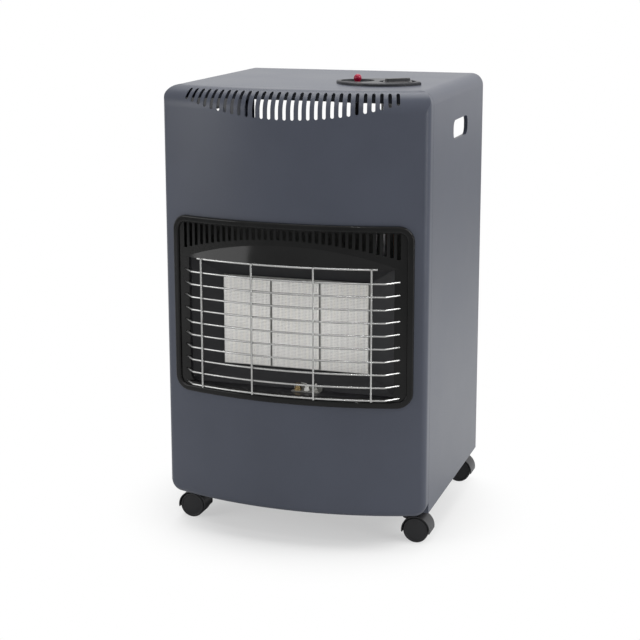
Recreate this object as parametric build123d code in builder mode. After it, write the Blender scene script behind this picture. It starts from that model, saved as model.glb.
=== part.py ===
"""Portable cabinet gas heater with three radiant tiles, on four casters.

Frame: X across the cabinet, -Y towards the warm front, +Z up.
The origin is on the floor, below the middle of the footprint.
"""
from build123d import *
import os
from math import asin, cos, degrees, radians, sin, sqrt

# ---------------------------------------------------------------- dimensions
# Cabinet wrap
body_w = 430.0              # across the flanks
body_top = 720.0            # top face above the floor
floor_gap = 56.0            # underside of the cabinet above the floor
flank_depth = 350.0         # front seam to rear edge
sheet = 1.2                 # cabinet sheet steel
shell_bend = 20.0           # outer bend between top and flank
side_return = 16.0          # inward return round the rear opening
bottom_return = 18.0        # inward return under the base pan
seam_return = 20.0          # inward return along the front seam
seam_gap = 0.5              # open joint between wrap and front panel
lay_gap = 0.25              # gap between painted sheets that lie together

# Hand holes in the flanks
hand_len = 100.0
hand_high = 31.0
hand_r = 12.0
hand_flange = 6.0
hand_from_seam = 183.0      # middle of the hole behind the seam
hand_below_top = 73.5

# Front panel
bow_rim = 22.0              # depth of the panel's own flanks
bow_sag = 42.0              # how far the face bows forward of them
panel_corner = 20.0         # corners of the panel seen from the front
panel_edge = 12.0           # rounding between face and flanks
roll_r = 32.0               # rolled top edge
vent_count = 29
vent_pitch = 12.35          # along the bowed face
vent_w = 5.4
vent_top = 717.0
vent_low_mid = 676.0        # lower ends run in an arch
vent_low_end = 700.5

# Burner surround
surround_side = 19.0        # flank of the cabinet beyond the surround
surround_w = body_w - 2 * surround_side
surround_bottom = 235.5
surround_top = 520.0
surround_r = 24.0
surround_t = 1.5
rim_w = 10.0
rim_proud = 5.0
surround_lap = 7.0          # overlap on the panel round its cut-out
grid_count = 35
grid_pitch = 10.2
grid_w = 5.4
grid_top = 508.5
grid_low_mid = 493.5
grid_low_end = 468.5
window_side = 28.5          # surround beside the window
window_half = surround_w / 2 - window_side
window_bottom = 251.0
window_r = 14.0
lip_z = 453.5               # lower edge of the visor, top of the window
visor_half = window_half + 6.5
visor_high = 31.0
visor_reach = 9.0

# Wire guard
wire_d = 3.0
wire_stand = 14.0           # long wires ahead of the panel face
weld_gap = 0.02             # seam between two wires at a weld
wire_count = 10
wire_pitch = 20.3
wire_low = 251.0
wire_bend_x = window_half - 10.5
wire_bend_r = 6.0
wire_foot_x = window_half + 5.5
wire_tail = 3.0             # wire end behind the surround
wire_hole_play = 0.35
short_wire_z = 455.5
short_wire_half = window_half - 21.5
upright_outer = window_half - 29.5
upright_inner = 50.0

# Radiant burners
tile_w = 77.0
tile_h = 141.0
tile_t = 13.0
tile_bottom = 280.0
tile_gap = 3.5
tile_setback = 49.0         # tile faces behind the middle of the bowed face
tile_play = 0.3
pan_t = 1.0
pan_depth = 30.0
pan_setback = 2.0           # pan rim behind the tile face
mixer_d = 22.0
mixer_from_back = 2.5       # tube wall from the back of the pan
mixer_len = 52.0
mixer_flare = 4.0
firebox_t = 0.8
firebox_slope = 20.0        # depth of the splayed part
firebox_play = 0.8          # round the burner pans
firebox_flange = 14.0
clamp_t = 1.5
clamp_w = 16.0

# Gas rail and jets
rail_d = 12.0
rail_below_mixer = 16.0
rail_from_x = -100.0
rail_to_x = 110.0
rail_boss = 2.0
jet_hex = 9.0
jet_high = 12.0
saddle_t = 2.0
saddle_w = 14.0
saddle_x = 54.0
saddle_play = 0.1
tube_d = 8.0
tube_bend = 9.0
pilot_tube_d = 4.0
lead_d = 3.0
lead_bend = 8.0

# Pilot group
pilot_x = 12.0
pilot_from_face = 24.0      # behind the middle of the bowed face
pilot_plate_t = 1.2
pilot_plate_d = 16.0
pilot_burner_d = 8.0
pilot_burner_high = 10.0
couple_dx = 30.0
couple_d = 4.5
couple_high = 12.0
electrode_dx = 15.0
electrode_d = 6.0
electrode_high = 6.5
spark_d = 1.2
foot_below = 5.0            # stubs of the pilot parts below the firebox floor
foot_play = 0.3

# Base pan
pan_sheet = 1.5
pan_wall = 22.0
pan_play = 0.4
seat_d = 292.0
seat_rise = 2.5
seat_behind_seam = 196.0

# Heat shield and rear crossbar
shield_behind_seam = 38.0
shield_top = 600.0
shield_t = 1.0
shield_fold = 12.0
shield_foot = 150.0         # half length of the bottom fold
bar_high = 34.0
bar_fold = 12.0
bar_top = 548.0
bar_t = 1.5

# Rear cover
cover_t = 1.0
cover_w = 418.0
cover_top = 546.0
cover_bottom = 64.0
cover_margin = 24.0
cover_bulge = 6.0
cover_r = 10.0
louvre_len = 62.0
louvre_high = 6.0
louvre_rows = 4
louvre_pitch_z = 14.0
louvre_in = 56.0            # middle of a louvre block from the cover's fold
louvre_pitch_x = 86.0
hook_w = 20.0
hook_t = 1.5
hook_len = 13.0
hook_x = 130.0
hook_play = 0.8
hook_from_edge = 9.0        # hooks from the upper and lower edge of the cover

# Controls on the top
bezel_x = 102.0
bezel_behind_seam = 95.0
bezel_half_len = 69.0
bezel_half_wide = 48.0
bezel_rise = 5.0
bezel_edge = 1.5
dish_depth = 11.0           # dish floor below the bezel face
dish_wall = 2.0
knob_dish_r = 29.0
button_dish_r = 27.0
knob_dx = 31.0              # knob axis from the middle of the bezel
button_dx = -34.0
dish_hole_play = 0.4

# Knob, spindle, valve
knob_d = 46.0
knob_disc = 6.5
knob_grip_high = 4.5
knob_grip_w = 11.0
knob_grip_turn = 38.0
knob_over_floor = 5.0       # free height under the knob for its push
spindle_d = 8.0
spindle_flat = 2.8          # flat of the D section from the axis
spindle_play = 0.05
knob_bore_deep = 9.0
spindle_slack = 5.2         # free height over the spindle in the knob
spindle_hole_play = 1.0
bracket_t = 1.5
bracket_w = 40.0
bracket_drop = 26.0         # bracket plate below the inner face of the top
bracket_beyond = 4.0        # legs outside the dishes
bracket_fold = 10.0
valve_w = 46.0
valve_d = 34.0
valve_h = 30.0
spindle_in_valve = 14.0
spindle_end_gap = 0.3
inlet_d = 9.2
inlet_len = 28.0
inlet_collar = 5.0
inlet_land = 11.0           # plain end of the hose tail
outlet_d = 14.0
outlet_len = 9.0
small_port_d = 9.0
small_port_dx = 14.0

# Igniter
button_cap_d = 12.5
button_neck_d = 8.0
button_base_d = 13.4
button_over_top = 15.0
button_over_floor = 3.0     # collar above the dish floor
button_stem_d = 7.0
button_hole_play = 0.5
button_play = 0.06
button_travel = 6.0
igniter_d = 18.0
igniter_len = 46.0
igniter_above = 6.0         # body above the bracket plate
igniter_bore = 20.0
igniter_nut_d = 24.0
igniter_nut = 3.5
igniter_play = 0.1

# Casters
caster_inset = 23.5         # wheel centre inside the flank
caster_x = body_w / 2 - caster_inset
caster_front = 27.0         # wheel centre behind the seam
caster_rear = 17.5          # wheel centre ahead of the rear edge
wheel_d = 41.0
wheel_w = 13.5
wheel_edge = 1.8
caster_w = 34.0
hood_r = 23.5
hood_wall = 1.5
hood_web = 4.0
hood_below = 4.0            # hood rim below the axle
caster_trail = 16.0
stem_d = 10.0
stem_plate_d = 24.0
stem_plate_t = 3.0
stem_thread = 14.0
stem_thread_d = 8.0
stem_pin = 11.0
stem_play = 0.05
socket_d = 17.0
socket_low = 16.0           # socket foot above the axle
swivel_gap = 0.4
axle_d = 5.0
axle_play = 0.05
axle_bore = 11.0            # blind bore in each wheel
wheel_gap = 0.4
wheel_dish = 0.8
hub_d = 14.0
nut_flats = 15.0
nut_high = 6.0

# Screws
screw_d = 4.0
screw_head_d = 8.0
screw_head = 2.4
base_screw_len = 9.0
clamp_screw_len = 5.0
screw_play = 0.2

# ------------------------------------------------------------ derived places
bow_r = ((body_w / 2) ** 2 + bow_sag ** 2) / (2 * bow_sag)
upright_out = wire_stand + wire_d + weld_gap
upright_drop = bow_r + upright_out - sqrt((bow_r + upright_out) ** 2 - upright_inner ** 2)
guard_reach = max(wire_stand, upright_out - upright_drop) + wire_d / 2
front_reach = bow_rim + bow_sag + guard_reach
rear_reach = flank_depth + lay_gap + cover_t + cover_bulge
seam_y = (front_reach - rear_reach) / 2
rear_y = seam_y + flank_depth
face_y = seam_y - bow_rim - bow_sag
bow_cy = face_y + bow_r                     # axis of the bowed face
body_mid_z = (body_top + floor_gap) / 2
body_h = body_top - floor_gap

tile_y = face_y + tile_setback              # front faces of the tiles
tile_back = tile_y + tile_t
pan_front = tile_y + pan_setback
pan_back = pan_front + pan_depth
pan_w = tile_w + 2 * tile_play + 2 * pan_t
pan_h = tile_h + 2 * tile_play + 2 * pan_t
pan_low = tile_bottom - tile_play - pan_t
pan_mid_z = pan_low + pan_h / 2
burner_pitch = tile_w + tile_gap
burners_half = burner_pitch + pan_w / 2
pan_mid_y = (pan_front + pan_back) / 2
mixer_y = pan_back - mixer_from_back - mixer_d / 2
rail_z = pan_low - mixer_len - rail_below_mixer
floor_top = floor_gap + sheet               # seat of the base pan
pan_floor = floor_top + pan_sheet           # upper face of the base pan
shield_y = seam_y + shield_behind_seam
seat_y = seam_y + seat_behind_seam

bezel_y = seam_y + bezel_behind_seam
knob_x = bezel_x + knob_dx
button_x = bezel_x + button_dx
bezel_top = body_top + bezel_rise
dish_floor = bezel_top - dish_depth
dish_under = dish_floor - dish_wall
bracket_z = body_top - sheet - bracket_drop  # upper face of the bracket plate
valve_top = bracket_z - bracket_t
valve_low = valve_top - valve_h
knob_low = dish_floor + knob_over_floor

stem_x = caster_x - caster_trail
caster_front_y = seam_y + caster_front
caster_rear_y = rear_y - caster_rear
axle_z = wheel_d / 2
cover_y = rear_y + lay_gap                  # inner face of the rear cover
base_screw_x = body_w / 2 - bottom_return / 2
base_screw_spots = [(side * base_screw_x, seam_y + flank_depth * (i + 1) / 4)
                    for side in (-1, 1) for i in range(3)]


def bow_y(x, out=0.0):
    """Y of the bowed face at x, moved out by the given amount."""
    return bow_cy - sqrt((bow_r + out) ** 2 - x ** 2)


def bow_plane(s, out):
    """Plane that touches the bowed face at the arc length s, moved out."""
    turn = s / bow_r
    return Plane(origin=((bow_r + out) * sin(turn), bow_cy - (bow_r + out) * cos(turn), 0),
                 x_dir=(cos(turn), sin(turn), 0), z_dir=(sin(turn), -cos(turn), 0))


def facing(y):
    """Upright plane at y that looks towards the front; its y axis is Z."""
    return Plane(origin=(0, y, 0), x_dir=(1, 0, 0), z_dir=(0, -1, 0))


def save(piece, name):
    piece.part.label = name
    export_step(piece.part, f"parts/{name}.step")


def bow_slab(inner, outer, low, high):
    """Part of a ring about the axis of the bowed face."""
    reach = degrees(asin(0.5 * body_w / bow_r)) + 3
    with BuildPart() as slab:
        with BuildSketch(Plane(origin=(0, bow_cy, 0), x_dir=(0, -1, 0), z_dir=(-1, 0, 0))):
            with Locations(((inner + outer) / 2, (low + high) / 2)):
                Rectangle(outer - inner, high - low)
        revolve(axis=Axis((0, bow_cy, 0), (0, 0, 1)), revolution_arc=2 * reach)
    return slab.part.rotate(Axis((0, bow_cy, 0), (0, 0, 1)), -reach)


def rounded_bar(y_front, y_back, wide, low, high, r):
    """Block along Y with a rounded rectangular section."""
    with BuildPart() as bar:
        with BuildSketch(facing(y_back)):
            with Locations((0, (low + high) / 2)):
                RectangleRounded(wide, high - low, r)
        extrude(amount=y_back - y_front)
    return bar.part


os.makedirs("parts", exist_ok=True)


# ------------------------------------------------------------- cabinet wrap
def wrap_block(inset):
    """Body of the wrap, moved in all round by the inset."""
    with BuildPart() as block:
        with BuildSketch(facing(rear_y - inset)):
            with Locations((0, body_mid_z)):
                Rectangle(body_w - 2 * inset, body_h - 2 * inset)
            fillet(vertices().group_by(Axis.Y)[-1], shell_bend - inset)
        extrude(amount=flank_depth - 2 * inset)
    return block.part


with BuildPart() as cabinet_shell:
    add(wrap_block(0))
    add(wrap_block(sheet), mode=Mode.SUBTRACT)
    # rear opening inside the returns
    with BuildSketch(facing(rear_y)):
        with Locations((0, body_mid_z - side_return)):
            RectangleRounded(body_w - 2 * side_return, body_h, 4)
    extrude(amount=sheet, mode=Mode.SUBTRACT)
    # front opening inside the seam returns
    with BuildSketch(facing(seam_y + sheet)):
        with Locations((0, body_mid_z - seam_return)):
            RectangleRounded(body_w - 2 * seam_return, body_h, 4)
    extrude(amount=sheet, mode=Mode.SUBTRACT)
    # bottom opening between the returns that carry the base pan
    with BuildSketch(Plane.XY.offset(floor_gap)):
        with Locations((0, seam_y + flank_depth / 2)):
            Rectangle(body_w - 2 * bottom_return, flank_depth)
    extrude(amount=sheet, mode=Mode.SUBTRACT)
    # hand holes with their turned-in collars
    with BuildSketch(Plane.YZ.offset(-body_w / 2)):
        with Locations((seam_y + hand_from_seam, body_top - hand_below_top)):
            RectangleRounded(hand_len, hand_high, hand_r)
    extrude(amount=body_w, mode=Mode.SUBTRACT)
    for side in (-1, 1):
        with BuildSketch(Plane.YZ.offset(side * (body_w / 2 - sheet))):
            with Locations((seam_y + hand_from_seam, body_top - hand_below_top)):
                RectangleRounded(hand_len + 2 * sheet, hand_high + 2 * sheet, hand_r + sheet)
                RectangleRounded(hand_len, hand_high, hand_r, mode=Mode.SUBTRACT)
        extrude(amount=-side * (hand_flange - sheet))
    # holes for the two dishes of the control bezel
    with Locations((knob_x, bezel_y, body_top)):
        Hole(knob_dish_r + dish_wall + dish_hole_play, depth=sheet * 2)
    with Locations((button_x, bezel_y, body_top)):
        Hole(button_dish_r + dish_wall + dish_hole_play, depth=sheet * 2)

    # screw holes through the bottom returns
    with Locations(*[(x, y, floor_gap + sheet) for x, y in base_screw_spots]):
        Hole(screw_d / 2 + screw_play, depth=sheet * 2)
save(cabinet_shell, "cabinet_shell")


# -------------------------------------------------------------- front panel
def bow_block(inset):
    """Bowed front with rolled top and rounded edges, moved in by the inset."""
    back = seam_y - seam_gap - inset
    with BuildPart() as block:
        add(bow_slab(bow_r - 90, bow_r - inset, floor_gap + inset, body_top - inset))
        add(rounded_bar(face_y - 20, back, body_w - 2 * inset, floor_gap + inset,
                        body_top - inset, panel_corner - inset), mode=Mode.INTERSECT)
        rim = faces().filter_by(GeomType.CYLINDER).sort_by(Axis.Y)[0].outer_wire().edges()
        fillet(rim, panel_edge - inset)
    with BuildPart() as roll:
        with BuildSketch(Plane(origin=(0, bow_cy, 0), x_dir=(0, -1, 0), z_dir=(-1, 0, 0))):
            with BuildLine():
                r_out = bow_r - inset
                top = body_top - inset
                Line((r_out + 30, top + 10), (r_out + 30, top - roll_r + inset))
                Line((r_out + 30, top - roll_r + inset), (r_out, top - roll_r + inset))
                RadiusArc((r_out, top - roll_r + inset), (r_out - roll_r + inset, top),
                          -(roll_r - inset))
                Line((r_out - roll_r + inset, top), (r_out - roll_r + inset, top + 10))
                Line((r_out - roll_r + inset, top + 10), (r_out + 30, top + 10))
            make_face()
        revolve(axis=Axis((0, bow_cy, 0), (0, 0, 1)), revolution_arc=60)
    return block.part - roll.part.rotate(Axis((0, bow_cy, 0), (0, 0, 1)), -30)


def arch(x, mid, end):
    """Height on a shallow arch from its middle value to its end value."""
    half = vent_pitch * (vent_count - 1) / 2
    return mid + (end - mid) * (x / half) ** 2


with BuildPart() as front_panel:
    add(bow_block(0))
    add(bow_block(sheet), mode=Mode.SUBTRACT)
    # open back inside the seam returns
    with BuildSketch(facing(seam_y - seam_gap)):
        with Locations((0, body_mid_z)):
            RectangleRounded(body_w - 2 * seam_return, body_h - 2 * seam_return, 6)
    extrude(amount=sheet * 1.5, mode=Mode.SUBTRACT)
    # cut-out behind the burner surround
    with BuildSketch(facing(seam_y - bow_rim / 2)):
        with Locations((0, (surround_bottom + surround_top) / 2)):
            RectangleRounded(surround_w - 2 * surround_lap,
                             surround_top - surround_bottom - 2 * surround_lap,
                             surround_r - surround_lap)
    extrude(amount=bow_rim + bow_sag, mode=Mode.SUBTRACT)
    # fan of slots over the rolled edge
    for i in range(vent_count):
        s = (i - (vent_count - 1) / 2) * vent_pitch
        low = arch(s, vent_low_mid, vent_low_end)
        with BuildSketch(bow_plane(s, 5)):
            with Locations((0, (vent_top + low) / 2)):
                SlotOverall(vent_top - low, vent_w, rotation=90)
    extrude(amount=-(roll_r + 5), mode=Mode.SUBTRACT)
save(front_panel, "front_panel")


# ---------------------------------------------------------- burner surround
field_in = bow_r + lay_gap
field_out = field_in + surround_t
rim_out = bow_r + rim_proud
foot_y = bow_y(wire_foot_x, lay_gap + surround_t)
bend_y = bow_y(wire_bend_x, wire_stand)
tail_run = Vector(wire_foot_x - wire_bend_x, foot_y - bend_y).normalized()
tail_x = wire_foot_x + tail_run.X * (wire_tail + surround_t)
tail_y = foot_y + tail_run.Y * (wire_tail + surround_t)
wire_zs = [wire_low + i * wire_pitch for i in range(wire_count)]


def surround_outline(inset):
    """Rounded outline of the surround, moved in by the inset."""
    with Locations((0, (surround_bottom + surround_top) / 2)):
        RectangleRounded(surround_w - 2 * inset, surround_top - surround_bottom - 2 * inset,
                         surround_r - inset)


def visor_wedge(inset):
    """Segment of a circle drawn out upwards and back: the hood of the visor."""
    tip_y = bow_y(visor_half, lay_gap + surround_t) + inset
    nose_y = bow_y(0, lay_gap + surround_t) - visor_reach + inset
    with BuildPart() as wedge:
        with BuildSketch(Plane.XY.offset(lip_z)):
            with BuildLine():
                ThreePointArc((-visor_half + inset, tip_y), (0, nose_y),
                              (visor_half - inset, tip_y))
                Line((visor_half - inset, tip_y), (-visor_half + inset, tip_y))
            make_face()
        slant = Vector(0, visor_reach, visor_high)
        extrude(amount=slant.length * 1.2, dir=slant.normalized())
    return wedge.part


wire_holes = []
for side in (-1, 1):
    for z in wire_zs:
        start = (side * (wire_foot_x - 8 * tail_run.X), foot_y - 8 * tail_run.Y, z)
        hole_axis = Plane(origin=start, z_dir=(side * tail_run.X, tail_run.Y, 0))
        wire_holes.append(hole_axis)

with BuildPart() as surround_rim:
    with BuildSketch(facing(seam_y - bow_rim / 2)):
        surround_outline(0)
        with Locations((0, (surround_bottom + surround_top) / 2)):
            RectangleRounded(surround_w - 2 * rim_w, surround_top - surround_bottom - 2 * rim_w,
                             surround_r - rim_w, mode=Mode.SUBTRACT)
    extrude(amount=bow_sag + bow_rim)
    add(bow_slab(field_in + surround_t / 3, rim_out, surround_bottom - 5, surround_top + 5),
        mode=Mode.INTERSECT)
    crest = faces().filter_by(GeomType.CYLINDER).sort_by(Axis.Y)[0]
    fillet(crest.edges(), rim_proud * 0.5)

with BuildPart() as burner_surround:
    # field plate along the bowed face
    with BuildSketch(facing(seam_y - bow_rim / 2)):
        surround_outline(surround_t / 3)
    extrude(amount=bow_sag + bow_rim)
    add(bow_slab(field_in, field_out, surround_bottom - 5, surround_top + 5),
        mode=Mode.INTERSECT)
    # hood of the visor, kept ahead of the plate
    add(visor_wedge(0))
    add(bow_slab(bow_r - 60, field_in, surround_bottom, surround_top), mode=Mode.SUBTRACT)
    add(visor_wedge(surround_t), mode=Mode.SUBTRACT)
    # window below the visor
    with BuildSketch(facing(seam_y - bow_rim / 2)):
        with Locations((0, (window_bottom + lip_z) / 2)):
            Rectangle(2 * window_half, lip_z - window_bottom)
        fillet(vertices().group_by(Axis.Y)[0], window_r)
    extrude(amount=bow_sag + bow_rim, mode=Mode.SUBTRACT)
    # grid of upright slots that follows the visor
    for i in range(grid_count):
        x = (i - (grid_count - 1) / 2) * grid_pitch
        edge = (grid_count - 1) / 2 * grid_pitch
        low = grid_low_mid + (grid_low_end - grid_low_mid) * (x / edge) ** 2
        with BuildSketch(facing(seam_y - bow_rim / 2)):
            with Locations((x, (grid_top + low) / 2)):
                Rectangle(grid_w, grid_top - low)
    extrude(amount=bow_sag + bow_rim, mode=Mode.SUBTRACT)
    # holes for the ends of the long wires
    for hole_axis in wire_holes:
        with BuildSketch(hole_axis):
            Circle(wire_d / 2 + wire_hole_play)
    extrude(amount=16, mode=Mode.SUBTRACT)
    add(surround_rim.part)
save(burner_surround, "burner_surround")


# --------------------------------------------------------------- wire guard
def round_wire(path, d):
    """Wire of diameter d along a path that starts at its first point."""
    with BuildPart() as wire:
        with BuildSketch(Plane(origin=path @ 0, z_dir=path % 0)):
            Circle(d / 2)
        sweep(path=path)
    return wire.part


with BuildPart() as guard_grille:
    for z in wire_zs:
        with BuildLine(Plane.XY.offset(z)) as long_path:
            left = Line((-tail_x, tail_y), (-wire_bend_x, bend_y))
            bow = ThreePointArc((-wire_bend_x, bend_y), (0, bow_y(0, wire_stand)),
                                (wire_bend_x, bend_y))
            right = Line((wire_bend_x, bend_y), (tail_x, tail_y))
            corners = long_path.vertices().filter_by_position(Axis.X, -wire_bend_x - 1,
                                                              wire_bend_x + 1)
            fillet(corners, wire_bend_r)
        add(round_wire(long_path.wire(), wire_d))
    short_end = bow_y(short_wire_half, wire_stand)
    with BuildLine(Plane.XY.offset(short_wire_z)) as short_path:
        ThreePointArc((-short_wire_half, short_end), (0, bow_y(0, wire_stand)),
                      (short_wire_half, short_end))
    add(round_wire(short_path.wire(), wire_d))
    for x in (-upright_outer, -upright_inner, upright_inner, upright_outer):
        with Locations((x, bow_y(x, upright_out), (wire_low + short_wire_z) / 2)):
            Cylinder(wire_d / 2, short_wire_z - wire_low + wire_d)
save(guard_grille, "guard_grille")


# ------------------------------------------------------------------ burners
burner_xs = {"left": -burner_pitch, "middle": 0.0, "right": burner_pitch}

for name, x in burner_xs.items():
    with BuildPart() as tile:
        with Locations((x, tile_y + tile_t / 2, tile_bottom + tile_h / 2)):
            Box(tile_w, tile_t, tile_h)
        chamfer(faces().sort_by(Axis.Y)[0].edges(), 0.6)
    save(tile, f"ceramic_tile_{name}")

for name, x in burner_xs.items():
    with BuildPart() as burner_pan:
        with Locations((x, pan_mid_y, pan_mid_z)):
            Box(pan_w, pan_depth, pan_h)
        with Locations((x, pan_mid_y - pan_t / 2, pan_mid_z)):
            Box(pan_w - 2 * pan_t, pan_depth - pan_t, pan_h - 2 * pan_t, mode=Mode.SUBTRACT)
        # ledge that the tile rests on
        ledge = 3.0
        with Locations((x, tile_back + pan_t / 2, pan_mid_z)):
            Box(pan_w - 2 * pan_t, pan_t, pan_h - 2 * pan_t)
            Box(pan_w - 2 * pan_t - 2 * ledge, pan_t, pan_h - 2 * pan_t - 2 * ledge,
                mode=Mode.SUBTRACT)
        # mixing tube with a flared mouth over the jet
        with BuildSketch(Plane.XZ.offset(-mixer_y)):
            with BuildLine():
                inner = mixer_d / 2 - pan_t
                throat = pan_low - mixer_len
                Line((x + inner, pan_low + pan_t), (x + mixer_d / 2, pan_low + pan_t))
                Line((x + mixer_d / 2, pan_low + pan_t), (x + mixer_d / 2, throat + 10))
                Line((x + mixer_d / 2, throat + 10), (x + mixer_d / 2 + mixer_flare, throat))
                Line((x + mixer_d / 2 + mixer_flare, throat), (x + inner + mixer_flare, throat))
                Line((x + inner + mixer_flare, throat), (x + inner, throat + 10))
                Line((x + inner, throat + 10), (x + inner, pan_low + pan_t))
            make_face()
        revolve(axis=Axis((x, mixer_y, 0), (0, 0, 1)))
        with BuildSketch(Plane.XY.offset(pan_low)):
            with Locations((x, mixer_y)):
                Circle(mixer_d / 2 - pan_t)
        extrude(amount=pan_t, mode=Mode.SUBTRACT)
    save(burner_pan, f"burner_pan_{name}")


# ------------------------------------------------------------------ firebox
box_back = pan_front + 2
box_front = box_back - firebox_slope        # where the splay begins
fire_out = field_in - lay_gap               # front edge follows the surround
rear_half = burners_half + firebox_play
rear_low = pan_low - firebox_play
rear_high = pan_low + pan_h + firebox_play


clamp_screw_z = pan_h / 2 + lay_gap + clamp_w * 0.6
clamp_screw_spots = [(side * (burners_half - 12), pan_mid_z + up * clamp_screw_z)
                     for side in (-1, 1) for up in (-1, 1)]

pilot_y = face_y + pilot_from_face
pilot_feet = [(pilot_x, pilot_burner_d), (pilot_x + electrode_dx, electrode_d),
              (pilot_x + couple_dx, couple_d)]


def firebox_form(grow):
    """Straight mouth and splayed throat of the firebox, grown by its wall."""
    with BuildPart() as form:
        with BuildSketch(facing(box_front)):
            with Locations((0, (window_bottom + lip_z) / 2)):
                Rectangle(2 * (window_half + grow), lip_z - window_bottom + 2 * grow)
        extrude(amount=bow_sag + 20)
        with BuildSketch(facing(box_front)):
            with Locations((0, (window_bottom + lip_z) / 2)):
                Rectangle(2 * (window_half + grow), lip_z - window_bottom + 2 * grow)
        with BuildSketch(facing(box_back)):
            with Locations((0, (rear_low + rear_high) / 2)):
                Rectangle(2 * (rear_half + grow), rear_high - rear_low + 2 * grow)
        loft()
    return form.part


with BuildPart() as firebox:
    add(firebox_form(firebox_t))
    with BuildSketch(facing(box_back)):
        with Locations((0, (rear_low + rear_high) / 2)):
            Rectangle(2 * (rear_half + firebox_flange),
                      rear_high - rear_low + 2 * firebox_flange)
    extrude(amount=firebox_t)
    add(firebox_form(0), mode=Mode.SUBTRACT)
    add(bow_slab(bow_r - 70, fire_out, surround_bottom, surround_top), mode=Mode.INTERSECT)
    for x, z in clamp_screw_spots:
        with Locations(Plane(origin=(x, box_back, z), z_dir=(0, 1, 0))):
            Hole(screw_d / 2 + screw_play, depth=4 * firebox_t)
    for x, d in pilot_feet:
        with Locations((x, pilot_y, window_bottom)):
            Hole(d / 2 + foot_play, depth=4 * firebox_t)
save(firebox, "firebox")


# ------------------------------------------------------- burner clamp bars
def clamp_section(up):
    """Folded clamp bar round the edge of the pans; up is 1 or -1."""
    edge = pan_mid_z + up * (pan_h / 2 + lay_gap)
    with Locations((box_back + clamp_t / 2, edge + up * clamp_w / 2)):
        Rectangle(clamp_t, clamp_w)
    with Locations(((box_back + pan_back + lay_gap + clamp_t) / 2, edge + up * clamp_t / 2)):
        Rectangle(pan_back + lay_gap + clamp_t - box_back, clamp_t)
    with Locations((pan_back + lay_gap + clamp_t / 2, edge - up * clamp_t * 1.5)):
        Rectangle(clamp_t, clamp_t * 5)


with BuildPart() as burner_clamps:
    with BuildSketch(Plane.YZ.offset(-burners_half)):
        clamp_section(1)
        clamp_section(-1)
    extrude(amount=2 * burners_half)
    # notches in the lower bar that let the mixing tubes through
    for x in burner_xs.values():
        with Locations((x, mixer_y - mixer_d / 2 - tile_play, pan_low - lay_gap)):
            Box(mixer_d + 2, mixer_d + mixer_from_back + 4 * clamp_t, 12 * clamp_t,
                align=(Align.CENTER, Align.MIN, Align.CENTER), mode=Mode.SUBTRACT)
    for x, z in clamp_screw_spots:
        with Locations(Plane(origin=(x, box_back, z), z_dir=(0, 1, 0))):
            Hole(screw_d / 2 + screw_play, depth=4 * clamp_t)
save(burner_clamps, "burner_clamps")


def screw_set(planes, long):
    """Round-headed screws that point against the z axis of each plane."""
    with BuildPart() as screws:
        for plane in planes:
            with BuildSketch(plane):
                Circle(screw_head_d / 2)
            extrude(amount=screw_head)
        fillet(edges().filter_by(GeomType.CIRCLE).filter_by(
            lambda e: any(abs((e.center() - p.origin).dot(p.z_dir) - screw_head) < 0.01
                          for p in planes)), screw_head * 0.6)
        for plane in planes:
            with BuildSketch(plane):
                Circle(screw_d / 2)
        extrude(amount=-long)
    return screws


clamp_screws = screw_set([Plane(origin=(x, box_back + clamp_t, z), z_dir=(0, 1, 0))
                          for x, z in clamp_screw_spots], clamp_screw_len)
save(clamp_screws, "clamp_screws")
base_screws = screw_set([Plane(origin=(x, y, floor_gap), z_dir=(0, 0, -1))
                         for x, y in base_screw_spots], base_screw_len)
save(base_screws, "base_screws")


# -------------------------------------------------------- gas rail and jets
boss_top = rail_z + rail_d / 2 + rail_boss
with BuildPart() as gas_rail:
    with BuildSketch(Plane.YZ.offset(rail_from_x)):
        with Locations((mixer_y, rail_z)):
            Circle(rail_d / 2)
    extrude(amount=rail_to_x - rail_from_x)
    for x in burner_xs.values():
        with BuildSketch(Plane.XY.offset(rail_z)):
            with Locations((x, mixer_y)):
                Circle(jet_hex / 2 + 1)
        extrude(amount=boss_top - rail_z)
save(gas_rail, "gas_rail")

with BuildPart() as injector_jets:
    for x in burner_xs.values():
        with BuildSketch(Plane.XY.offset(boss_top)):
            with Locations((x, mixer_y)):
                RegularPolygon(jet_hex / 2, 6, major_radius=False)
        extrude(amount=jet_high * 0.55)
        with Locations((x, mixer_y, boss_top + jet_high * 0.55 + jet_high * 0.225)):
            Cone(jet_hex * 0.4, jet_hex * 0.22, jet_high * 0.45)
save(injector_jets, "injector_jets")

with BuildPart() as rail_saddles:
    for side in (-1, 1):
        with BuildSketch(Plane.YZ.offset(side * saddle_x - saddle_w / 2)):
            cup = rail_d / 2 + saddle_play + saddle_t
            with Locations((mixer_y, rail_z - cup / 2)):
                Rectangle(2 * cup, cup)
            with Locations(((mixer_y + shield_y) / 2, rail_z - cup + saddle_t / 2)):
                Rectangle(shield_y - mixer_y, saddle_t)
            with Locations((shield_y - saddle_t / 2, rail_z - cup + saddle_w / 2)):
                Rectangle(saddle_t, saddle_w)
            with Locations((mixer_y, rail_z)):
                Circle(rail_d / 2 + saddle_play, mode=Mode.SUBTRACT)
        extrude(amount=saddle_w)
save(rail_saddles, "rail_saddles")


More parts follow.
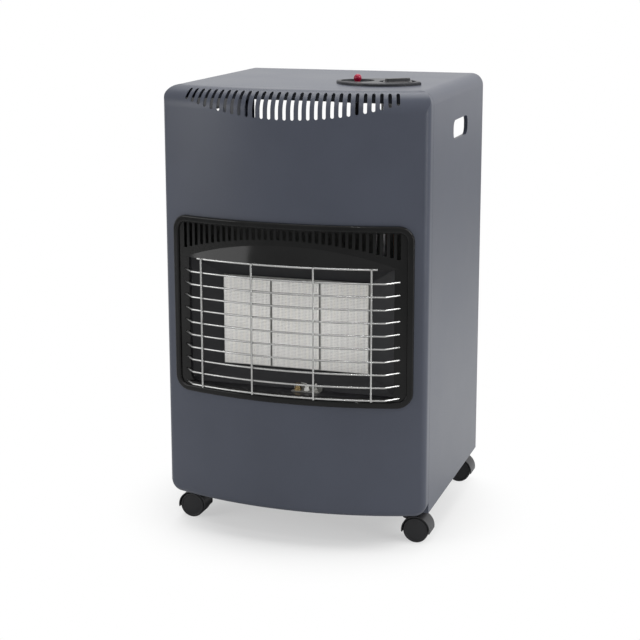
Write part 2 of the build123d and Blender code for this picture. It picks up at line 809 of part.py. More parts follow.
# -------------------------------------------------------------- pilot group
foot_z = window_bottom - firebox_t - foot_below
plate_top = window_bottom + pilot_plate_t
with BuildPart() as pilot_bracket:
    with BuildSketch(Plane.XY.offset(window_bottom)):
        with Locations((pilot_x + couple_dx / 2, pilot_y)):
            Rectangle(couple_dx + pilot_plate_d, pilot_plate_d)
        for x, d in pilot_feet:
            with Locations((x, pilot_y)):
                Circle(d / 2 + foot_play, mode=Mode.SUBTRACT)
    extrude(amount=pilot_plate_t)
    # rear lip of the folded plate
    with BuildSketch(Plane.XY.offset(window_bottom)):
        with Locations((pilot_x + couple_dx / 2, pilot_y + pilot_plate_d / 2)):
            Rectangle(couple_dx + pilot_plate_d, pilot_plate_t, align=(Align.CENTER, Align.MAX))
    extrude(amount=pilot_plate_d / 2)
save(pilot_bracket, "pilot_bracket")

with BuildPart() as pilot_burner:
    with Locations((pilot_x, pilot_y, foot_z)):
        Cylinder(pilot_burner_d / 2, plate_top + pilot_burner_high - foot_z,
                 align=(Align.CENTER, Align.CENTER, Align.MIN))
    with Locations((pilot_x, pilot_y, plate_top)):
        Cylinder(pilot_burner_d / 2 + 1.5, 3, align=(Align.CENTER, Align.CENTER, Align.MIN))
    # flame ports that face the tiles and the electrode
    with Locations((pilot_x, pilot_y, plate_top + pilot_burner_high - 4)):
        Box(pilot_burner_d * 2, 2, 3)
        Cylinder(pilot_burner_d / 2 - 1.2, 20, align=(Align.CENTER, Align.CENTER, Align.MIN),
                 mode=Mode.SUBTRACT)
        Box(pilot_burner_d * 3, 2, 3, mode=Mode.SUBTRACT)
save(pilot_burner, "pilot_burner")

with BuildPart() as thermocouple:
    with BuildSketch(Plane.XZ.offset(-pilot_y)):
        x = pilot_x + couple_dx
        with BuildLine():
            Polyline((x, foot_z), (x + couple_d / 2, foot_z), (x + couple_d / 2, plate_top),
                     (x + couple_d / 2 + 1.5, plate_top), (x + couple_d / 2 + 1.5, plate_top + 3),
                     (x + couple_d / 2, plate_top + 3),
                     (x + couple_d / 2, plate_top + couple_high - 2),
                     (x + couple_d / 4, plate_top + couple_high), (x, plate_top + couple_high),
                     (x, foot_z))
        make_face()
    revolve(axis=Axis((pilot_x + couple_dx, pilot_y, 0), (0, 0, 1)))
save(thermocouple, "thermocouple")

electrode_x = pilot_x + electrode_dx
with BuildPart() as spark_electrode:
    with Locations((electrode_x, pilot_y, foot_z)):
        Cylinder(electrode_d / 2, plate_top + electrode_high - foot_z,
                 align=(Align.CENTER, Align.CENTER, Align.MIN))
    with Locations((electrode_x, pilot_y, plate_top)):
        Cylinder(electrode_d / 2 + 1.2, 2.5, align=(Align.CENTER, Align.CENTER, Align.MIN))
    chamfer(faces().sort_by(Axis.Z)[-1].edges(), 0.8)
save(spark_electrode, "spark_electrode")

with BuildPart() as spark_wire:
    tip_z = plate_top + electrode_high
    with BuildLine() as spark_path:
        FilletPolyline((electrode_x, pilot_y, tip_z), (electrode_x, pilot_y, tip_z + 4.5),
                       (pilot_x + pilot_burner_d / 2 + 2, pilot_y, tip_z + 4.5), radius=2)
    with BuildSketch(Plane(origin=spark_path.wire() @ 0, z_dir=spark_path.wire() % 0)):
        Circle(spark_d / 2)
    sweep(path=spark_path.wire())
save(spark_wire, "spark_wire")


# ------------------------------------------------------------------ base pan
def hook_slot(wall_front, wall_back, hook_z):
    """Low and high edge of the slot that a slanting hook needs in a wall."""
    near = cover_y - wall_back
    far = cover_y - wall_front
    half = hook_t / 2 / cos(radians(45)) + hook_play
    return hook_z - far - half, hook_z - near + half


cover_hook_zs = (cover_bottom + hook_from_edge, cover_top - hook_from_edge)
tray_half = body_w / 2 - sheet - pan_play
tray_front = seam_y + sheet + pan_play
tray_back = rear_y - sheet - pan_play
stem_spots = [(side * stem_x, y) for side in (-1, 1) for y in (caster_front_y, caster_rear_y)]

with BuildPart() as base_pan:
    with Locations((0, (tray_front + tray_back) / 2, floor_top)):
        Box(2 * tray_half, tray_back - tray_front, pan_wall,
            align=(Align.CENTER, Align.CENTER, Align.MIN))
    fillet(edges().filter_by(Axis.Z), 4)
    offset(amount=-pan_sheet, openings=faces().sort_by(Axis.Z)[-1])
    # pressed round seat for the gas cylinder
    with Locations((0, seat_y, pan_floor)):
        Cylinder(seat_d / 2, seat_rise, align=(Align.CENTER, Align.CENTER, Align.MIN))
    with Locations((0, seat_y, floor_top)):
        Cylinder(seat_d / 2 - pan_sheet, seat_rise, align=(Align.CENTER, Align.CENTER, Align.MIN),
                 mode=Mode.SUBTRACT)
    with Locations(*[(x, y, pan_floor) for x, y in stem_spots]):
        Hole(stem_thread_d / 2 + screw_play, depth=2 * pan_sheet)
    with Locations(*[(x, y, pan_floor) for x, y in base_screw_spots]):
        Hole(screw_d / 2 + screw_play, depth=2 * pan_sheet)
    low, high = hook_slot(tray_back - pan_sheet, tray_back, cover_hook_zs[0])
    for side in (-1, 1):
        with Locations((side * hook_x, tray_back - pan_sheet / 2, (low + high) / 2)):
            Box(hook_w + 2 * hook_play, 2 * pan_sheet, high - low, mode=Mode.SUBTRACT)
save(base_pan, "base_pan")


# ---------------------------------------------- heat shield, rear crossbar
with BuildPart() as heat_shield:
    with BuildSketch(facing(shield_y + shield_t)):
        with Locations((0, (pan_floor + shield_top) / 2)):
            Rectangle(2 * tray_half, shield_top - pan_floor)
        for side in (-1, 1):
            with Locations((side * tray_half, pan_floor)):
                Rectangle(4 * pan_sheet, 2 * (pan_wall + 2), mode=Mode.SUBTRACT)
    extrude(amount=shield_t)
    fold_low = floor_top + pan_wall + 4
    for side in (-1, 1):
        with Locations((side * (tray_half - shield_t / 2), shield_y - shield_fold / 2,
                        (fold_low + shield_top) / 2)):
            Box(shield_t, shield_fold, shield_top - fold_low)
    with Locations((0, shield_y - shield_fold / 2, pan_floor + shield_t / 2)):
        Box(2 * shield_foot, shield_fold, shield_t)
    # row of air slots low in the shield, level with the jets
    with BuildSketch(facing(shield_y + shield_t)):
        with GridLocations(52, 1, 6, 1):
            with Locations((0, rail_z + 60)):
                SlotOverall(36, 8)
    extrude(amount=shield_t, mode=Mode.SUBTRACT)
save(heat_shield, "heat_shield")

bar_back = rear_y - sheet
with BuildPart() as rear_crossbar:
    with BuildSketch(Plane.YZ.offset(-tray_half)):
        with Locations((bar_back - bar_t / 2, bar_top - bar_high / 2)):
            Rectangle(bar_t, bar_high)
        for z in (bar_top - bar_t / 2, bar_top - bar_high + bar_t / 2):
            with Locations((bar_back - bar_fold / 2, z)):
                Rectangle(bar_fold, bar_t)
    extrude(amount=2 * tray_half)
    low, high = hook_slot(bar_back - bar_t, bar_back, cover_hook_zs[1])
    for side in (-1, 1):
        with Locations((side * hook_x, bar_back - bar_t / 2, (low + high) / 2)):
            Box(hook_w + 2 * hook_play, 2 * bar_t, high - low, mode=Mode.SUBTRACT)
save(rear_crossbar, "rear_crossbar")


# --------------------------------------------------------------- rear cover
cover_mid_z = (cover_bottom + cover_top) / 2
cover_h = cover_top - cover_bottom
outer_plane = Plane(origin=(0, cover_y, 0), x_dir=(-1, 0, 0), z_dir=(0, 1, 0))
with BuildPart() as rear_cover:
    with BuildSketch(outer_plane):
        with Locations((0, cover_mid_z)):
            RectangleRounded(cover_w, cover_h, cover_r)
    extrude(amount=cover_t)
    with BuildSketch(outer_plane.offset(cover_t)):
        with Locations((0, cover_mid_z)):
            RectangleRounded(cover_w - 2 * cover_margin, cover_h - 2 * cover_margin, cover_r)
    extrude(amount=cover_bulge, taper=45)
    with BuildSketch(outer_plane):
        with Locations((0, cover_mid_z)):
            RectangleRounded(cover_w - 2 * cover_margin - cover_t,
                             cover_h - 2 * cover_margin - cover_t, cover_r)
    extrude(amount=cover_bulge, taper=45, mode=Mode.SUBTRACT)
    with BuildSketch(outer_plane.offset(cover_bulge - 1)):
        for z in (cover_bottom + cover_margin + louvre_in, cover_top - cover_margin - louvre_in):
            with Locations((0, z)):
                with GridLocations(louvre_pitch_x, louvre_pitch_z, 4, louvre_rows):
                    SlotOverall(louvre_len, louvre_high)
    extrude(amount=cover_t + 4, mode=Mode.SUBTRACT)
    for side in (-1, 1):
        for z in cover_hook_zs:
            root = Plane(origin=(side * hook_x, cover_y, z), x_dir=(1, 0, 0), z_dir=(0, -1, -1))
            with BuildSketch(root.offset(-cover_t * 0.4)):
                Rectangle(hook_w, hook_t)
            extrude(amount=hook_len)
save(rear_cover, "rear_cover")


# ----------------------------------------------------------- control bezel
with BuildPart() as control_bezel:
    with BuildSketch(Plane.XY.offset(body_top)):
        with BuildLine():
            for side in (-1, 1):
                ThreePointArc((bezel_x - bezel_half_len, bezel_y),
                              (bezel_x, bezel_y + side * bezel_half_wide),
                              (bezel_x + bezel_half_len, bezel_y))
        make_face()
    extrude(amount=bezel_rise)
    chamfer(faces().sort_by(Axis.Z)[-1].edges(), bezel_edge)
    for x, r in ((knob_x, knob_dish_r), (button_x, button_dish_r)):
        with Locations((x, bezel_y, dish_under)):
            Cylinder(r + dish_wall, body_top - dish_under,
                     align=(Align.CENTER, Align.CENTER, Align.MIN))
        with Locations((x, bezel_y, dish_floor)):
            Cone(r - dish_wall, r, dish_depth, align=(Align.CENTER, Align.CENTER, Align.MIN),
                 mode=Mode.SUBTRACT)
    with Locations((knob_x, bezel_y, dish_floor)):
        Hole(spindle_d / 2 + spindle_hole_play, depth=2 * dish_wall)
    with Locations((button_x, bezel_y, dish_floor)):
        Hole(button_base_d / 2 + button_hole_play, depth=2 * dish_wall)
save(control_bezel, "control_bezel")


# ------------------------------------------------- knob, spindle, gas valve
def d_section(play):
    """D shaped section of the spindle, grown by a running play."""
    Circle(spindle_d / 2 + play)
    with Locations((spindle_flat + play + spindle_d, 0)):
        Rectangle(2 * spindle_d, 2 * spindle_d, mode=Mode.SUBTRACT)


knob_top = knob_low + knob_disc
spindle_top = knob_low + knob_bore_deep - spindle_slack
spindle_low = valve_top - spindle_in_valve + spindle_end_gap

with BuildPart() as gas_knob:
    with Locations((knob_x, bezel_y, knob_low)):
        Cylinder(knob_d / 2, knob_disc, align=(Align.CENTER, Align.CENTER, Align.MIN))
    fillet(edges().sort_by(Axis.Z)[-1], 1.6)
    with BuildSketch(Plane.XY.offset(knob_top - 1)):
        with Locations((knob_x, bezel_y)):
            SlotOverall(knob_d - 3, knob_grip_w, rotation=knob_grip_turn)
    extrude(amount=knob_grip_high + 1, taper=8)
    fillet(faces().sort_by(Axis.Z)[-1].edges(), 1.2)
    with BuildSketch(Plane.XY.offset(knob_low)):
        with Locations((knob_x, bezel_y)):
            d_section(spindle_play)
    extrude(amount=knob_bore_deep, mode=Mode.SUBTRACT)
save(gas_knob, "gas_knob")

with BuildPart() as valve_spindle:
    with Locations((knob_x, bezel_y, spindle_low)):
        Cylinder(spindle_d / 2, valve_top + 2 - spindle_low,
                 align=(Align.CENTER, Align.CENTER, Align.MIN))
    with BuildSketch(Plane.XY.offset(valve_top + 2)):
        with Locations((knob_x, bezel_y)):
            d_section(0)
    extrude(amount=spindle_top - valve_top - 2)
save(valve_spindle, "valve_spindle")

valve_mid_z = (valve_top + valve_low) / 2
valve_front = bezel_y - valve_d / 2
port_z = valve_mid_z - 4
with BuildPart() as gas_valve:
    with Locations((knob_x, bezel_y, valve_mid_z)):
        Box(valve_w, valve_d, valve_h)
    fillet(edges().filter_by(Axis.Z), 6)
    chamfer(faces().sort_by(Axis.Z)[0].edges(), 2)
    # outlet and two small ports in front
    for dx, d, long in ((0, outlet_d, outlet_len), (-small_port_dx, small_port_d, outlet_len),
                        (small_port_dx, small_port_d, outlet_len)):
        with BuildSketch(facing(valve_front + 1)):
            with Locations((knob_x + dx, port_z)):
                RegularPolygon(d / 2, 6, major_radius=False)
        extrude(amount=long + 1)
    # barbed hose tail towards the open back
    with BuildSketch(Plane.YZ.offset(knob_x)):
        with BuildLine():
            y = bezel_y + valve_d / 2 - 1
            r = inlet_d / 2
            ring = (inlet_len - inlet_collar - inlet_land) / 3
            outline = [(y, port_z), (y, port_z + r + 1.5),
                       (y + 1 + inlet_collar, port_z + r + 1.5)]
            for i in range(3):
                groove = y + 1 + inlet_collar + i * ring
                outline += [(groove, port_z + r - 1), (groove + ring, port_z + r)]
            outline += [(y + inlet_len, port_z + r), (y + 1 + inlet_len, port_z + r - 1),
                        (y + 1 + inlet_len, port_z)]
            Polyline(*outline, close=True)
        make_face()
    revolve(axis=Axis((knob_x, 0, port_z), (0, 1, 0)))
    with Locations((knob_x, bezel_y, valve_top)):
        Hole(spindle_d / 2 + spindle_play, depth=spindle_in_valve)
save(gas_valve, "gas_valve")

bracket_west = button_x - button_dish_r - dish_wall - bracket_beyond
bracket_east = knob_x + knob_dish_r + dish_wall + bracket_beyond
with BuildPart() as valve_bracket:
    with BuildSketch(Plane.XZ.offset(-bezel_y - bracket_w / 2)):
        leg_top = body_top - sheet
        with Locations(((bracket_west + bracket_east) / 2, bracket_z - bracket_t / 2)):
            Rectangle(bracket_east - bracket_west, bracket_t)
        for x, way in ((bracket_west, -1), (bracket_east, 1)):
            with Locations((x - way * bracket_t / 2, (bracket_z - bracket_t + leg_top) / 2)):
                Rectangle(bracket_t, leg_top - bracket_z + bracket_t)
            with Locations((x + way * (bracket_fold - bracket_t) / 2, leg_top - bracket_t / 2)):
                Rectangle(bracket_fold + bracket_t, bracket_t)
    extrude(amount=bracket_w)
    with Locations((knob_x, bezel_y, bracket_z)):
        Hole(spindle_d / 2 + spindle_hole_play, depth=2 * bracket_t)
    with Locations((button_x, bezel_y, bracket_z)):
        Hole(igniter_d / 2 + igniter_play, depth=2 * bracket_t)
save(valve_bracket, "valve_bracket")


# ------------------------------------------------------------ igniter
button_top = body_top + button_over_top
collar_z = dish_floor + button_over_floor
body_z = bracket_z + igniter_above
stem_low = body_z - igniter_bore + button_travel + 2
with BuildPart() as igniter_button:
    with BuildSketch(Plane.XZ.offset(-bezel_y)):
        with BuildLine():
            x = button_x
            cap_z = button_top - button_cap_d / 2
            rest = sqrt((button_cap_d / 2) ** 2 - (button_neck_d / 2) ** 2)
            Line((x, stem_low), (x + button_stem_d / 2, stem_low))
            Line((x + button_stem_d / 2, stem_low), (x + button_stem_d / 2, collar_z))
            Line((x + button_stem_d / 2, collar_z), (x + button_base_d / 2, collar_z))
            Line((x + button_base_d / 2, collar_z), (x + button_base_d / 2, collar_z + 2.4))
            Line((x + button_base_d / 2, collar_z + 2.4), (x + button_neck_d / 2, collar_z + 4))
            Line((x + button_neck_d / 2, collar_z + 4), (x + button_neck_d / 2, cap_z - rest))
            ThreePointArc((x + button_neck_d / 2, cap_z - rest), (x + button_cap_d / 2, cap_z),
                          (x, button_top))
            Line((x, button_top), (x, stem_low))
        make_face()
    revolve(axis=Axis((button_x, bezel_y, 0), (0, 0, 1)))
save(igniter_button, "igniter_button")

with BuildPart() as igniter_body:
    with Locations((button_x, bezel_y, body_z)):
        Cylinder(igniter_d / 2, igniter_len, align=(Align.CENTER, Align.CENTER, Align.MAX))
    with Locations((button_x, bezel_y, bracket_z - bracket_t)):
        Cylinder(igniter_nut_d / 2, 2, align=(Align.CENTER, Align.CENTER, Align.MAX))
    with Locations((button_x, bezel_y, body_z)):
        Hole(button_stem_d / 2 + button_play, depth=igniter_bore)
    chamfer(faces().sort_by(Axis.Z)[0].edges(), 1.5)
save(igniter_body, "igniter_body")

with BuildPart() as igniter_nut_ring:
    with BuildSketch(Plane.XY.offset(bracket_z)):
        with Locations((button_x, bezel_y)):
            RegularPolygon(igniter_nut_d / 2, 6, major_radius=False)
            Circle(igniter_d / 2 + igniter_play, mode=Mode.SUBTRACT)
    extrude(amount=igniter_nut)
save(igniter_nut_ring, "igniter_nut")


# ------------------------------------------------------- tubes and leads
def bent_tube(points, d, bend):
    """Round tube through the points, with one bend radius at each corner."""
    with BuildPart() as tube:
        with BuildLine() as route:
            FilletPolyline(*points, radius=bend)
        path = route.wire()
        with BuildSketch(Plane(origin=path @ 0, z_dir=path % 0)):
            Circle(d / 2)
        sweep(path=path)
    return tube


port_y = valve_front - outlet_len
supply_y = shield_y - 14
supply_tube = bent_tube([(knob_x, port_y, port_z), (knob_x, supply_y, port_z),
                         (knob_x, supply_y, rail_z), (knob_x, mixer_y, rail_z),
                         (rail_to_x, mixer_y, rail_z)], tube_d, tube_bend)
save(supply_tube, "supply_tube")

pilot_run_y = shield_y - 9
pilot_run_z = rail_z - 18
pilot_tube = bent_tube([(knob_x - small_port_dx, port_y, port_z),
                        (knob_x - small_port_dx, pilot_run_y, port_z),
                        (knob_x - small_port_dx, pilot_run_y, pilot_run_z),
                        (pilot_x, pilot_run_y, pilot_run_z), (pilot_x, pilot_y, pilot_run_z),
                        (pilot_x, pilot_y, foot_z)], pilot_tube_d, lead_bend)
save(pilot_tube, "pilot_tube")

couple_x = pilot_x + couple_dx
couple_run_y = shield_y - 5.5
couple_run_z = pilot_run_z - 6
thermocouple_lead = bent_tube([(knob_x + small_port_dx, port_y, port_z),
                               (knob_x + small_port_dx, couple_run_y, port_z),
                               (knob_x + small_port_dx, couple_run_y, couple_run_z),
                               (couple_x, couple_run_y, couple_run_z),
                               (couple_x, pilot_y, couple_run_z),
                               (couple_x, pilot_y, foot_z)], lead_d, lead_bend)
save(thermocouple_lead, "thermocouple_lead")

spark_run_y = shield_y - 13.5
spark_run_z = couple_run_z - 6
spark_low = body_z - igniter_len
spark_over = spark_low - 12
igniter_lead = bent_tube([(button_x, bezel_y, spark_low), (button_x, bezel_y, spark_over),
                          (button_x, spark_run_y, spark_over),
                          (button_x, spark_run_y, spark_run_z),
                          (electrode_x, spark_run_y, spark_run_z),
                          (electrode_x, pilot_y, spark_run_z),
                          (electrode_x, pilot_y, foot_z)], lead_d, lead_bend)
save(igniter_lead, "igniter_lead")


# ---------------------------------------------------------------- casters
hood_top = floor_top - stem_plate_t - swivel_gap
pin_low = floor_top - stem_plate_t - stem_pin
with BuildPart() as caster_stems:
    for x, y in stem_spots:
        with Locations((x, y, pin_low)):
            Cylinder(stem_d / 2, stem_pin, align=(Align.CENTER, Align.CENTER, Align.MIN))
        with Locations((x, y, floor_top)):
            Cylinder(stem_plate_d / 2, stem_plate_t, align=(Align.CENTER, Align.CENTER, Align.MAX))
            Cylinder(stem_thread_d / 2, stem_thread,
                     align=(Align.CENTER, Align.CENTER, Align.MIN))
save(caster_stems, "caster_stems")

with BuildPart() as caster_nuts:
    with BuildSketch(Plane.XY.offset(pan_floor)):
        with Locations(*stem_spots):
            RegularPolygon(nut_flats / 2, 6, major_radius=False)
            Circle(stem_thread_d / 2 + screw_play, mode=Mode.SUBTRACT)
    extrude(amount=nut_high)
save(caster_nuts, "caster_nuts")


def caster_hood(out, y):
    """Hood of a twin-wheel caster; out is the side it trails to, 1 or -1."""
    wheel_x = out * caster_x
    with BuildPart() as hood:
        with BuildSketch(facing(y + caster_w / 2)):
            with Locations((wheel_x, axle_z)):
                Circle(hood_r)
        extrude(amount=caster_w)
        with Locations((out * stem_x, y, axle_z + socket_low)):
            Cylinder(socket_d / 2, hood_top - axle_z - socket_low,
                     align=(Align.CENTER, Align.CENTER, Align.MIN))
        # room for the wheels, with the web left standing between them
        for side in (-1, 1):
            with Locations((wheel_x, y + side * (caster_w + hood_web) / 4, axle_z)):
                Cylinder(hood_r - hood_wall, (caster_w - hood_web) / 2, rotation=(90, 0, 0),
                         mode=Mode.SUBTRACT)
        # open underside, leaving the hub of the web
        with BuildSketch(facing(y + caster_w)):
            with Locations((wheel_x, axle_z - hood_below)):
                Rectangle(4 * hood_r, 2 * hood_r, align=(Align.CENTER, Align.MAX))
            with Locations((wheel_x, axle_z)):
                Circle(axle_d / 2 + 4, mode=Mode.SUBTRACT)
        extrude(amount=2 * caster_w, mode=Mode.SUBTRACT)
        with Locations(Plane(origin=(wheel_x, y + caster_w, axle_z), z_dir=(0, 1, 0))):
            Hole(axle_d / 2 + axle_play, depth=2 * caster_w)
        with Locations((out * stem_x, y, hood_top)):
            Hole(stem_d / 2 + stem_play, depth=hood_top - pin_low + swivel_gap)
    return hood


def caster_wheel(out, y, side):
    """One wheel; side tells which end of the axle it runs on."""
    face = y + side * (hood_web / 2 + wheel_gap)
    far = face + side * wheel_w
    r = wheel_d / 2
    with BuildPart() as wheel:
        with BuildSketch(Plane.XY.offset(axle_z)):
            with BuildLine():
                x = out * caster_x
                Polyline((x, face), (x + hub_d / 2, face), (x + hub_d / 2 + 1, face + side * 2),
                         (x + r - 3, face + side * 2), (x + r - 2, face),
                         (x + r - 0.5, face), (x + r, face + side * 0.5),
                         (x + r, far - side * wheel_edge))
                RadiusArc((x + r, far - side * wheel_edge), (x + r - wheel_edge, far),
                          -side * wheel_edge)
                Polyline((x + r - wheel_edge, far), (x + r - 3, far),
                         (x + r - 4, far - side * wheel_dish), (x, far - side * wheel_dish),
                         (x, face))
            make_face()
        revolve(axis=Axis((out * caster_x, 0, axle_z), (0, 1, 0)))
        with Locations(Plane(origin=(out * caster_x, face, axle_z), z_dir=(0, -side, 0))):
            Hole(axle_d / 2 + axle_play, depth=axle_bore)
    return wheel


casters = {"fl": (-1, caster_front_y), "fr": (1, caster_front_y),
           "rl": (-1, caster_rear_y), "rr": (1, caster_rear_y)}
for name, (out, y) in casters.items():
    save(caster_hood(out, y), f"caster_hood_{name}")
    with BuildPart() as axle:
        with Locations((out * caster_x, y, axle_z)):
            Cylinder(axle_d / 2, 2 * (hood_web / 2 + wheel_gap + axle_bore - 0.5),
                     rotation=(90, 0, 0))
    save(axle, f"caster_axle_{name}")
    save(caster_wheel(out, y, -1), f"caster_wheel_{name}_a")
    save(caster_wheel(out, y, 1), f"caster_wheel_{name}_b")
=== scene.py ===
import math

import bmesh
import bpy
from bpy.props import FloatProperty, FloatVectorProperty, IntProperty, PointerProperty
from bpy.types import Operator, Panel, PropertyGroup
from mathutils import Matrix, Vector


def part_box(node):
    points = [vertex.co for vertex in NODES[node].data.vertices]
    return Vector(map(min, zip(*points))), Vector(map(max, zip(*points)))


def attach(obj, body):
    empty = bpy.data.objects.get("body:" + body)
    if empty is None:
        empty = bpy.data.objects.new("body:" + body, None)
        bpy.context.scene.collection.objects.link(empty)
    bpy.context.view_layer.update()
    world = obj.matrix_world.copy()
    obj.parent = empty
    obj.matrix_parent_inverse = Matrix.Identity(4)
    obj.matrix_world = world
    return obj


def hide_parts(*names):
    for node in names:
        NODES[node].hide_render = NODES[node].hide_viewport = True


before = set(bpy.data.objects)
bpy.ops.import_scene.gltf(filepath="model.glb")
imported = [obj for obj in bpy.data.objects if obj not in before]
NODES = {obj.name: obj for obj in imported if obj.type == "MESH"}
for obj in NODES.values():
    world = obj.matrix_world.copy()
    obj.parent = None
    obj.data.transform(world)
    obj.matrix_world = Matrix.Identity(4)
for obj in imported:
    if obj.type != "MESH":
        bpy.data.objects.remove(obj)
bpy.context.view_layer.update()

bl_info = {
    "name": "Cabinet Gas Heater",
    "version": (1, 0, 0),
    "blender": (4, 5, 0),
    "location": "View3D > Sidebar > Heater",
    "description": "Finishes and fine detail for a cabinet gas heater on casters",
    "category": "Object",
}

# Lengths are in metres, colours are linear, and powers are in watts.

RIB_PITCH = 0.0088              # of the paler ribs in the ceramic
BORE_SHADE = (0.0002, 0.0022)   # depths between which painted shade darkens a bore
NO_BORES = 1.0                  # a face so far back that no painted bore shade shows
PORCELAIN = (0.86, 0.86, 0.84)
STOVE_BLACK = (0.014, 0.014, 0.016)
BEZEL_BLACK = (0.024, 0.025, 0.029)
SILICONE = (0.03, 0.03, 0.032)

# Rolled sheets: colour, roughness
SHEETS = {
    # the heat shield is aluminised sheet painted far darker: painted shade for the dark inside
    # of the cabinet behind the slots
    "aluminised_shield_painted_shade": ((0.08, 0.08, 0.078), 0.6),
    "aluminised_sheet": ((0.3, 0.3, 0.29), 0.45),
}

# Turned and drawn metals: colour, roughness, colour of the tarnish
METALS = {
    "zinc_plate": ((0.6, 0.6, 0.58), 0.34, (0.4, 0.38, 0.33)),
    "screw_zinc": ((0.45, 0.45, 0.43), 0.34, (0.28, 0.27, 0.23)),
    "turned_brass": ((0.42, 0.32, 0.17), 0.34, (0.2, 0.15, 0.09)),
    "drawn_aluminium": ((0.46, 0.46, 0.47), 0.42, (0.3, 0.3, 0.31)),
    "cast_alloy": ((0.6, 0.6, 0.61), 0.45, (0.42, 0.42, 0.42)),
    "bare_copper": ((0.78, 0.42, 0.28), 0.32, (0.34, 0.17, 0.1)),
    "caster_zinc": ((0.62, 0.62, 0.6), 0.3, (0.42, 0.4, 0.36)),
}

NUGGET_RADIUS = 0.62    # of a weld nugget, in wire diameters
NUGGET_DEPTH = 0.55     # of its width

WHITE = (1.0, 1.0, 1.0)
AIR = (0.97, 0.985, 1.0)
AIR_STRENGTH = 0.42
FLOOR_RADIUS = 6.0
SHADOW_EDGE = (0.18, 0.37)      # from the middle: the floor turns white between these
SHADOW_WHITE = 0.48             # share of white that the floor has under the heater

# Lamps: name, place, height aimed at over the middle, width, height, power
LAMPS = (
    ("lamp_right", (2.3, 0.1, 2.1), 0.4, 1.6, 1.6, 52.0),
    ("lamp_left", (-2.2, -1.9, 1.0), 0.4, 1.4, 1.4, 24.0),
    ("lamp_top", (-0.3, 0.4, 2.7), 0.4, 1.9, 1.9, 44.0),
    ("lamp_spark", (0.2, -1.7, 2.3), 0.45, 0.1, 0.1, 4.0),
    ("lamp_edge", (2.38, -0.77, 0.45), 0.4, 0.14, 1.0, 9.0),
)

SENSOR = 36.0       # width of the camera's sensor in millimetres
FAR_CLIP = 50.0


# ---------------------------------------------------------------- node trees

class Value:
    """A number socket of a node tree. Arithmetic on it adds Math nodes."""

    def __init__(self, nodes, socket):
        self.nodes = nodes
        self.socket = socket

    def __add__(self, other):
        return self.nodes.math("ADD", self, other)

    def __radd__(self, other):
        return self.nodes.math("ADD", other, self)

    def __mul__(self, other):
        return self.nodes.math("MULTIPLY", self, other)

    def __rmul__(self, other):
        return self.nodes.math("MULTIPLY", other, self)


class Nodes:
    """Builds the node tree of a material or of the world."""

    def __init__(self, owner):
        owner.use_nodes = True
        self.tree = owner.node_tree
        self.tree.nodes.clear()

    def node(self, kind, settings=None, inputs=None):
        """Adds a node: its settings first, then the values or links of its sockets."""
        made = self.tree.nodes.new(kind)
        for key, value in (settings or {}).items():
            setattr(made, key, value)
        for key, value in (inputs or {}).items():
            self.put(made.inputs[key], value)
        return made

    def value(self, output, kind, settings=None, inputs=None):
        """Adds a node and wraps the number that comes out of it."""
        return Value(self, self.node(kind, settings, inputs).outputs[output])

    def put(self, socket, value):
        """Sets a socket to a number or colour, or links it."""
        if isinstance(value, Value):
            value = value.socket
        if isinstance(value, bpy.types.NodeSocket):
            self.tree.links.new(value, socket)
        elif socket.type == "RGBA":
            socket.default_value = (*value, 1.0)
        else:
            socket.default_value = value

    def math(self, operation, *terms):
        return self.value(0, "ShaderNodeMath", {"operation": operation},
                          dict(enumerate(terms)))


class Finish(Nodes):
    """A material made of nodes around one Principled shader."""

    def __init__(self, name):
        self.material = bpy.data.materials.new(name)
        super().__init__(self.material)
        self.shader = self.node("ShaderNodeBsdfPrincipled")
        self.end = self.node("ShaderNodeOutputMaterial",
                             inputs={"Surface": self.shader.outputs["BSDF"]})
        self.place = self.node("ShaderNodeTexCoord").outputs["Object"]

    def set(self, **values):
        """Sets sockets of the shader; underscores stand for the blanks of their names."""
        for key, value in values.items():
            self.put(self.shader.inputs[key.replace("_", " ")], value)
        return self

    def axis(self, letter):
        return self.value(letter, "ShaderNodeSeparateXYZ", inputs={0: self.place})

    def stretched(self, scale):
        """Object coordinates drawn out along the axes where the scale is small."""
        return self.node("ShaderNodeMapping", {"vector_type": "POINT"},
                         {"Vector": self.place, "Scale": scale}).outputs["Vector"]

    def noise(self, scale, detail=2.0, roughness=0.5, vector=None):
        return self.value("Fac", "ShaderNodeTexNoise", inputs={
            "Vector": vector or self.place, "Scale": scale,
            "Detail": detail, "Roughness": roughness})

    def cells(self, scale):
        return self.value("Distance", "ShaderNodeTexVoronoi", {"feature": "F1"},
                          {"Vector": self.place, "Scale": scale})

    def between(self, value, low, high):
        """0 below low, 1 above high, smooth between."""
        return self.value("Result", "ShaderNodeMapRange",
                          {"interpolation_type": "SMOOTHSTEP"},
                          {"Value": value, "From Min": low, "From Max": high})

    def mix(self, amount, low, high):
        """A colour that goes from low to high with amount."""
        factor, first, second, result = 0, 6, 7, 2    # the node's sockets for colours
        return self.node("ShaderNodeMix", {"data_type": "RGBA"},
                         {factor: amount, first: low, second: high}).outputs[result]

    def bump(self, height, depth, strength):
        return self.node("ShaderNodeBump", inputs={
            "Height": height, "Distance": depth, "Strength": strength}).outputs["Normal"]


def shade(colour, amount):
    """The colour made lighter or darker by a factor."""
    return tuple(min(1.0, part * amount) for part in colour[:3])


# ----------------------------------------------------------------- finishes

